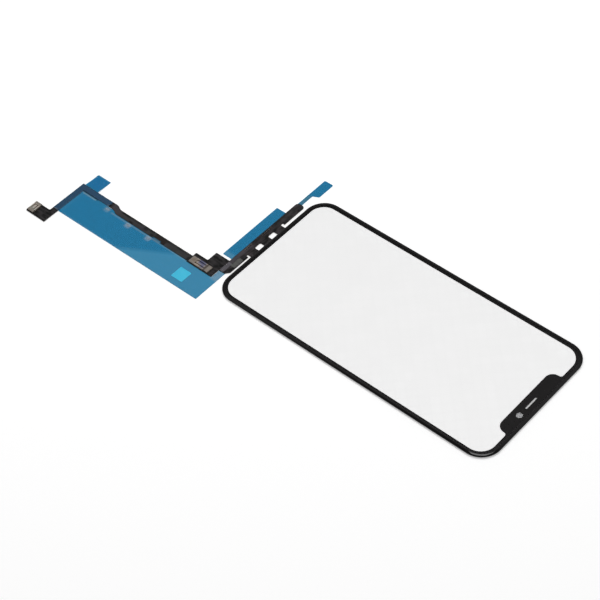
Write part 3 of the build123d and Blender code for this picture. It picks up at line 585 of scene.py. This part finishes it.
def corner_inset(distance):
    """How far a rounded end lies inside its straight line, at a distance from the end: a quarter circle of
    the film's corner radius, and 0 beyond it."""
    hollow = np.clip(FILM_RADIUS - distance, 0, FILM_RADIUS)
    return FILM_RADIUS - np.sqrt(FILM_RADIUS ** 2 - hollow ** 2)


def film_lift(x, y):
    """Height of the film's underside. It is the top of the adhesive over the tail and the arm, and falls to
    the ground as a smooth step of the distance from them: short on the inner sides, long towards the pull
    tab."""
    from_tail = np.hypot(np.maximum(TOP_TAIL_LEFT - x, 0), np.maximum(SLIT_Y - y, 0))
    from_arm = np.maximum(ARM_LOW - y, 0)
    near = np.minimum(from_tail, np.where(x < TOP_TAIL_RIGHT, from_arm, from_tail))
    lift = (ADHESIVE_TOP + FILM_CLEARANCE) * (1 - smooth_step(near, 0, DRAPE))
    return lift * (1 - TAB_FALL_SHARE * smooth_step(x, *TAB_FALL_X))


def draped_film():
    """The main release film as one sheet: a grid of lines across and along, kept where it lies inside the
    film's outline. The left line leans by a linear function of y. The line under the tail follows the jog
    by a smooth step and comes out beside the tail by another. The outer lines curve in at their ends as a
    circle of the corner radius. Its height is film_lift."""
    left, tab_right = FILM_X
    body_right, beside_tail = LAND_LEFT + LAND_TUCK, TAIL_LEFT + TAIL_TUCK
    over_right = TOP_TAIL_RIGHT - FILM_EDGE_GAP
    last_column, tiny = 0.6, 1e-6
    x_stops = [left, STILL_X, body_right, beside_tail, TAIL_MIDDLE_X, FLAP_RIGHT, over_right, LOBE_RIGHT,
               tab_right - last_column, tab_right]
    y_stops = [FILM_Y[0], FILM_Y[0] + FILM_RADIUS, LOBE_FAR, *FLAP_Y, *JOG_Y, SLIT_Y, TAB_Y[0],
               TAB_Y[0] + FILM_RADIUS, TAB_Y[1] - FILM_RADIUS, TAB_Y[1], FILM_Y[1] - FILM_RADIUS, FILM_Y[1]]
    xs = fine_lines(x_stops, [12, 10, 4, 6, 2, 4, 2, 8, 1])
    ys = fine_lines(y_stops, [5, 3, 8, 12, 4, 14, 5, 10, 5, 8, 5, 4, 5])
    x, y = np.meshgrid(xs, ys)

    before_end = 1 - (y - FILM_Y[0]) / (FILM_Y[1] - FILM_Y[0])
    lean = FILM_LEAN * before_end + corner_inset(np.minimum(y - FILM_Y[0], FILM_Y[1] - y))
    at_left = np.clip((STILL_X - x) / (STILL_X - left), 0, 1)
    pull = JOG_SHIFT * smooth_step(y, *JOG_Y) - TUCK_END_SHIFT * smooth_step(y, *TUCK_END_Y)
    beside = x <= beside_tail + tiny
    under = ~beside & (x < TAIL_MIDDLE_X - tiny)
    to_tail = np.clip((x - STILL_X) / (beside_tail - STILL_X), 0, 1)
    ease = (TAIL_MIDDLE_X - x) / (TAIL_MIDDLE_X - beside_tail)
    round_tab = corner_inset(np.minimum(y - TAB_Y[0], TAB_Y[1] - y))
    shifted = x + lean * at_left + pull * np.where(under, ease, to_tail * beside)
    shifted = shifted - np.where(x > tab_right - tiny, round_tab, 0)
    points = np.stack([shifted, y, film_lift(shifted, y)], -1).reshape(-1, 3)

    mid_x, mid_y = np.meshgrid((xs[1:] + xs[:-1]) / 2, (ys[1:] + ys[:-1]) / 2)
    inside = mid_x < body_right
    inside |= (mid_x < LOBE_RIGHT) & (mid_y < LOBE_FAR)
    inside |= (mid_x < FLAP_RIGHT) & (mid_y > FLAP_Y[0]) & (mid_y < FLAP_Y[1])
    inside |= (mid_x < beside_tail) & (mid_y > FLAP_Y[1])
    inside |= (mid_x < over_right) & (mid_y > SLIT_Y)
    inside |= (mid_y > TAB_Y[0]) & (mid_y < TAB_Y[1])
    row, column = np.nonzero(inside)
    corner = row * len(xs) + column
    faces = np.stack([corner, corner + 1, corner + len(xs) + 1, corner + len(xs)], -1)
    used, faces = np.unique(faces, return_inverse=True)
    piece = new_piece("main_film_draped", points[used], faces.reshape(-1, 4), main_blue)
    wall = piece.modifiers.new("film_thickness", "SOLIDIFY")
    wall.thickness = FILM_THICKNESS * MM
    wall.offset = 1.0
    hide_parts("main_liner")


def signed_power(value, exponent):
    """A power of the size of each value, with the value's own sign."""
    return np.sign(value) * np.abs(value) ** exponent


def rounded_blocks(name, centres, radii, squareness, material, rings=8, turns=24, flat_base=False):
    """Superellipsoids, all in one mesh. With a the latitude and b the longitude, a point lies at the radii
    times cos(a)^s cos(b)^t, cos(a)^s sin(b)^t and sin(a)^s, where each power keeps its sign, and s and t
    are the squareness upright and in plan. A flat base lifts the lower half to the centre's height."""
    upright, plan = squareness
    a = np.linspace(-np.pi / 2, np.pi / 2, rings + 1)[1:-1, None]
    b = np.linspace(0, 2 * np.pi, turns, endpoint=False)[None, :]
    out = signed_power(np.cos(a), upright)
    ring = np.stack([
        out * signed_power(np.cos(b), plan),
        out * signed_power(np.sin(b), plan),
        signed_power(np.sin(a), upright) * np.ones_like(b),
    ], -1).reshape(-1, 3)
    unit = np.concatenate([[(0, 0, -1)], ring, [(0, 0, 1)]])
    if flat_base:
        unit[:, 2] = np.maximum(unit[:, 2], 0)
    k = np.arange(turns)
    after = (k + 1) % turns
    bands = 1 + turns * np.arange(rings - 2)[:, None, None]
    walls = (bands + np.stack([k, after, after + turns, k + turns], -1)).reshape(-1, 4)
    last = 1 + turns * (rings - 2)
    gone = np.full(turns, -1)
    low_cap = np.stack([np.zeros(turns, int), 1 + after, 1 + k, gone], -1)
    high_cap = np.stack([np.full(turns, last + turns), last + k, last + after, gone], -1)
    unit_faces = np.concatenate([low_cap, walls, high_cap])
    centres = np.asarray(centres, float)[:, None, :]
    points = (centres + np.asarray(radii, float) * unit).reshape(-1, 3)
    step = len(unit) * np.arange(len(centres))[:, None, None]
    faces = np.where(unit_faces < 0, -1, unit_faces + step).reshape(-1, 4)
    return new_piece(name, points, faces, material)


def rounded_outline(inset, arc_steps=16, guard=0.6):
    """The glass outline drawn in by an inset: four corner arcs of the corner radius less the inset, round
    the same four centres, each with one more point a guard length along the straight on either side."""
    turn = np.radians(np.linspace(0, 90, arc_steps + 1))
    turn = np.concatenate([turn[:1], turn, turn[-1:]])
    run = np.zeros(len(turn))
    run[0], run[-1] = -guard, guard
    quarter = np.arange(4)[:, None]
    angle = turn + (quarter - 1) * np.pi / 2
    centre_x = np.where(quarter < 2, GLASS_X[1] - CORNER_RADIUS, GLASS_X[0] + CORNER_RADIUS)
    centre_y = np.where(quarter % 3 == 0, GLASS_Y[0] + CORNER_RADIUS, GLASS_Y[1] - CORNER_RADIUS)
    x = centre_x + (CORNER_RADIUS - inset) * np.cos(angle) - run * np.sin(angle)
    y = centre_y + (CORNER_RADIUS - inset) * np.sin(angle) + run * np.cos(angle)
    return x.ravel(), y.ravel()


def slot_outline(count):
    """The earpiece slot: two half circles, each with half of the points, evenly spread."""
    half_turn = np.linspace(-np.pi / 2, np.pi / 2, count // 2)
    angle = np.concatenate([half_turn, half_turn + np.pi])
    side = np.repeat([1, -1], count // 2)
    radius = SLOT_HALF[1]
    return side * (SLOT_HALF[0] - radius) + radius * np.cos(angle), FEATURE_Y + radius * np.sin(angle)


def polished_pane():
    """The cover glass as one closed skin: a profile carried round the outline. It runs from the slot's foot
    up its wall, over the flat face, down a quarter ellipse of the rim's width and drop in even steps of
    slope, down the side, round the back bevel and back under the flat to the slot. A guard ring on each
    flat keeps its shading."""
    guard = 0.40
    low, high = GLASS_Z
    slope = np.radians(np.linspace(0, 90, 21))
    phase = np.arctan2(np.sin(slope) * RIM_WIDTH, np.cos(slope) * RIM_DROP)
    rim_insets, rim_heights = RIM_WIDTH * (1 - np.sin(phase)), high - RIM_DROP * (1 - np.cos(phase))
    insets = np.concatenate([[RIM_WIDTH + guard], rim_insets, [0.0, BACK_BEVEL, BACK_BEVEL + guard]])
    rings = [np.stack(rounded_outline(inset), -1) for inset in insets]
    slot = np.stack(slot_outline(len(rings[0])), -1)
    plan = np.stack([slot, *rings, slot])
    z = np.concatenate([[high, high], rim_heights, [low + BACK_BEVEL, low, low, low]])
    points = np.concatenate([plan, np.broadcast_to(z[:, None, None], (*plan.shape[:2], 1))], -1)
    rows, turns = plan.shape[:2]
    row, k = np.meshgrid(np.arange(rows), np.arange(turns), indexing="ij")
    below, after = (row + 1) % rows, (k + 1) % turns
    faces = np.stack([row * turns + k, below * turns + k, below * turns + after, row * turns + after], -1)
    pane = new_piece("polished_pane", points.reshape(-1, 3), faces.reshape(-1, 4), MATERIALS["cover_glass"])
    pane.data.set_sharp_from_angle(angle=math.radians(30))
    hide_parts("cover_glass")


def eased_copy(node, name, heights, eased):
    """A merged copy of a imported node's mesh, its heights moved by a few thousandths of a millimetre along a
    straight-line table. The see-through skins of glass, adhesive and print then share no plane."""
    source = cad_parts[node].data
    points = np.empty(len(source.vertices) * 3)
    source.vertices.foreach_get("co", points)
    keys, merged = np.unique(np.round(points.reshape(-1, 3) / MM, 4), axis=0, return_inverse=True)
    keys[:, 2] = np.interp(keys[:, 2], heights, eased)
    corners = np.empty(len(source.loops), int)
    source.loops.foreach_get("vertex_index", corners)
    faces = merged.reshape(-1)[corners].reshape(-1, 3)
    piece = new_piece(name, keys, faces, MATERIALS[node], smooth=False)
    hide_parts(node)


def tack_domes():
    """Three dabs of clear adhesive, each a low half of an ellipsoid on the film."""
    radii, clearance = (0.75, 1.25, 0.10), 0.003
    by_tail, by_top_tail = TAIL_LEFT - 1.40, TOP_TAIL_LEFT - 1.30
    places = np.array([(by_tail, 111.95), (by_tail, 124.15), (by_top_tail, 138.1)])
    height = film_lift(places[:, 0], places[:, 1]) + FILM_THICKNESS + clearance
    domes = rounded_blocks("tack_domes", np.column_stack([places, height]), radii, (1.0, 1.0),
                           dab_tack, flat_base=True)
    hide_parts("tack_dabs")


def capacitor_ends():
    """Plated end caps of the strip's nine capacitors, four from the left and five from the right: rounded
    blocks a hair proud of the ceramic."""
    pitch, half_length, cap_centre, proud = 1.30, 0.30, 0.23, 0.005
    (low_x, high_x), y, z = (span("strip_capacitors", axis) for axis in range(3))
    left, right = low_x + half_length + pitch * np.arange(4), high_x - half_length - pitch * np.arange(5)
    x = np.concatenate([left, right])
    x = np.concatenate([x - cap_centre, x + cap_centre])
    centres = np.column_stack([x, np.full(len(x), sum(y) / 2), np.full(len(x), sum(z) / 2)])
    radii = (0.085, 0.17, (z[1] - z[0]) / 2 + proud)
    rounded_blocks("capacitor_ends", centres, radii, (0.25, 0.25), tin, rings=6, turns=12)


def camera_window_shade_disc():
    """A disc of painted shade in the print's round window: a flat grey disc with a rounded edge."""
    radii = (CAMERA_WINDOW_RADIUS, CAMERA_WINDOW_RADIUS, 0.012)
    rounded_blocks("camera_window_shade_disc", [(*CAMERA_WINDOW, sum(INK_Z) / 2)], radii, (0.2, 1.0), window_shade,
                   rings=6, turns=48)


eased_copy("border_ink", "border_ink_print", INK_Z, (INK_Z[0] + 0.003, INK_Z[1] - 0.003))
eased_copy("optical_adhesive", "optical_adhesive_sheet", (SENSOR_TOP, *INK_Z),
           (SENSOR_TOP + 0.004, INK_Z[0] - 0.003, INK_Z[1] - 0.006))
polished_pane()
draped_film()
tack_domes()
capacitor_ends()
camera_window_shade_disc()


# Floor, light and camera


def white_floor():
    """A plain pale floor just under the part. To the camera and in mirrors it adds a steady white, and
    through the glass, where little of the lamps' light comes back, a stronger one."""
    steady, through_glass = 0.40, 0.60
    half, height = 3.0, -0.02 * MM
    material, tree, output, _ = start("white_studio_floor")
    rays = add(tree, "ShaderNodeLightPath").outputs
    seen, bent = rays["Is Camera Ray"], rays["Is Transmission Ray"]
    for ray in (rays["Is Glossy Ray"], bent):
        seen = add(tree, "ShaderNodeMath", {0: seen, 1: ray}, operation="MAXIMUM")
    more = add(tree, "ShaderNodeMath", {0: bent, 1: through_glass}, operation="MULTIPLY")
    glow = add(tree, "ShaderNodeMath", {0: seen, 1: steady, 2: more}, operation="MULTIPLY_ADD")
    paint = add(tree, "ShaderNodeBsdfDiffuse", {"Color": "#efefef"})
    light = add(tree, "ShaderNodeEmission", {"Color": "#ffffff", "Strength": glow})
    finish(tree, output, add(tree, "ShaderNodeAddShader", {0: paint, 1: light}))
    mesh = bpy.data.meshes.new("studio_floor")
    corners = [(-half, -half, height), (half, -half, height), (half, half, height), (-half, half, height)]
    mesh.from_pydata(corners, [], [(0, 1, 2, 3)])
    mesh.materials.append(material)
    floor = bpy.data.objects.new("studio_floor", mesh)
    bpy.context.scene.collection.objects.link(floor)


def studio_world():
    """A soft grey room under a dark ceiling, that the camera itself sees as white. Each stop is a place on
    the way from the ground to straight above, and a grey level there."""
    stops = ((0.0, 0.55), (0.60, 0.18), (0.72, 0.14), (0.78, 0.26), (0.855, 0.38), (0.89, 0.03), (1.0, 0.03))
    world = bpy.data.worlds.new("studio_room")
    world.use_nodes = True
    bpy.context.scene.world = world
    tree = world.node_tree
    tree.nodes.clear()
    direction = add(tree, "ShaderNodeTexCoord").outputs["Generated"]
    height = add(tree, "ShaderNodeSeparateXYZ", {0: direction}).outputs["Z"]
    ramp = add(tree, "ShaderNodeValToRGB", {0: height})
    while len(ramp.color_ramp.elements) < len(stops):
        ramp.color_ramp.elements.new(0.5)
    for element, (place, level) in zip(ramp.color_ramp.elements, stops):
        element.position = place
        element.color = (level, level, level, 1.0)
    room = add(tree, "ShaderNodeBackground", {"Color": ramp, "Strength": 1.0})
    white = add(tree, "ShaderNodeBackground", {"Color": "#ffffff", "Strength": 1.0})
    seen = add(tree, "ShaderNodeLightPath").outputs["Is Camera Ray"]
    mix = add(tree, "ShaderNodeMixShader", {0: seen, 1: room, 2: white})
    finish(tree, add(tree, "ShaderNodeOutputWorld"), mix)


def softbox(name, direction, distance, side, radiance, in_mirrors=True):
    """A square lamp that faces the part's middle. Its power is radiance times pi times its area. Gloss
    doesn't mirror a lamp that is not in mirrors, as if it stood behind a flag."""
    lamp = bpy.data.lights.new(name, "AREA")
    lamp.shape = "SQUARE"
    lamp.size = side
    lamp.energy = radiance * math.pi * side ** 2
    target = (Vector(cad_box[0]) + Vector(cad_box[1])) / 2
    away = Vector(direction).normalized()
    facing = away.to_track_quat("Z", "Y").to_matrix().to_4x4()
    box = bpy.data.objects.new(name, lamp)
    box.visible_glossy = in_mirrors
    box.matrix_world = Matrix.Translation(target + away * distance) @ facing
    bpy.context.scene.collection.objects.link(box)


def photo_camera():
    """The photograph's camera: 690 mm from the part, 49.6 degrees above it, at its near left."""
    eye = Vector((-335.8, -295.9, 525.5)) * MM
    right = Vector((0.66414, -0.74445, -0.06871))
    up = Vector((0.59126, 0.46678, 0.65767))
    back = Vector((-0.45753, -0.47740, 0.75017))
    focal_pixels, picture_pixels, film_width = 1727.1, 600, 36.0
    lens = bpy.data.cameras.new("photo_camera")
    lens.sensor_width = film_width
    lens.lens = film_width * focal_pixels / picture_pixels
    lens.clip_start = 0.01
    camera = bpy.data.objects.new("photo_camera", lens)
    camera.matrix_world = Matrix.Translation(eye) @ Matrix((right, up, back)).transposed().to_4x4()
    bpy.context.scene.collection.objects.link(camera)
    bpy.context.scene.camera = camera


white_floor()
studio_world()
softbox("overhead_softbox", (0.241, 0.09, 0.94), distance=0.97, side=0.26, radiance=3.6)
softbox("side_softbox", (0.45, 0.30, 0.84), distance=1.3, side=0.9, radiance=3.9, in_mirrors=False)
softbox("rear_softbox", (-0.42, 0.66, 0.63), distance=1.2, side=0.30, radiance=2.0)
photo_camera()

bpy.context.scene.view_settings.view_transform = "Standard"
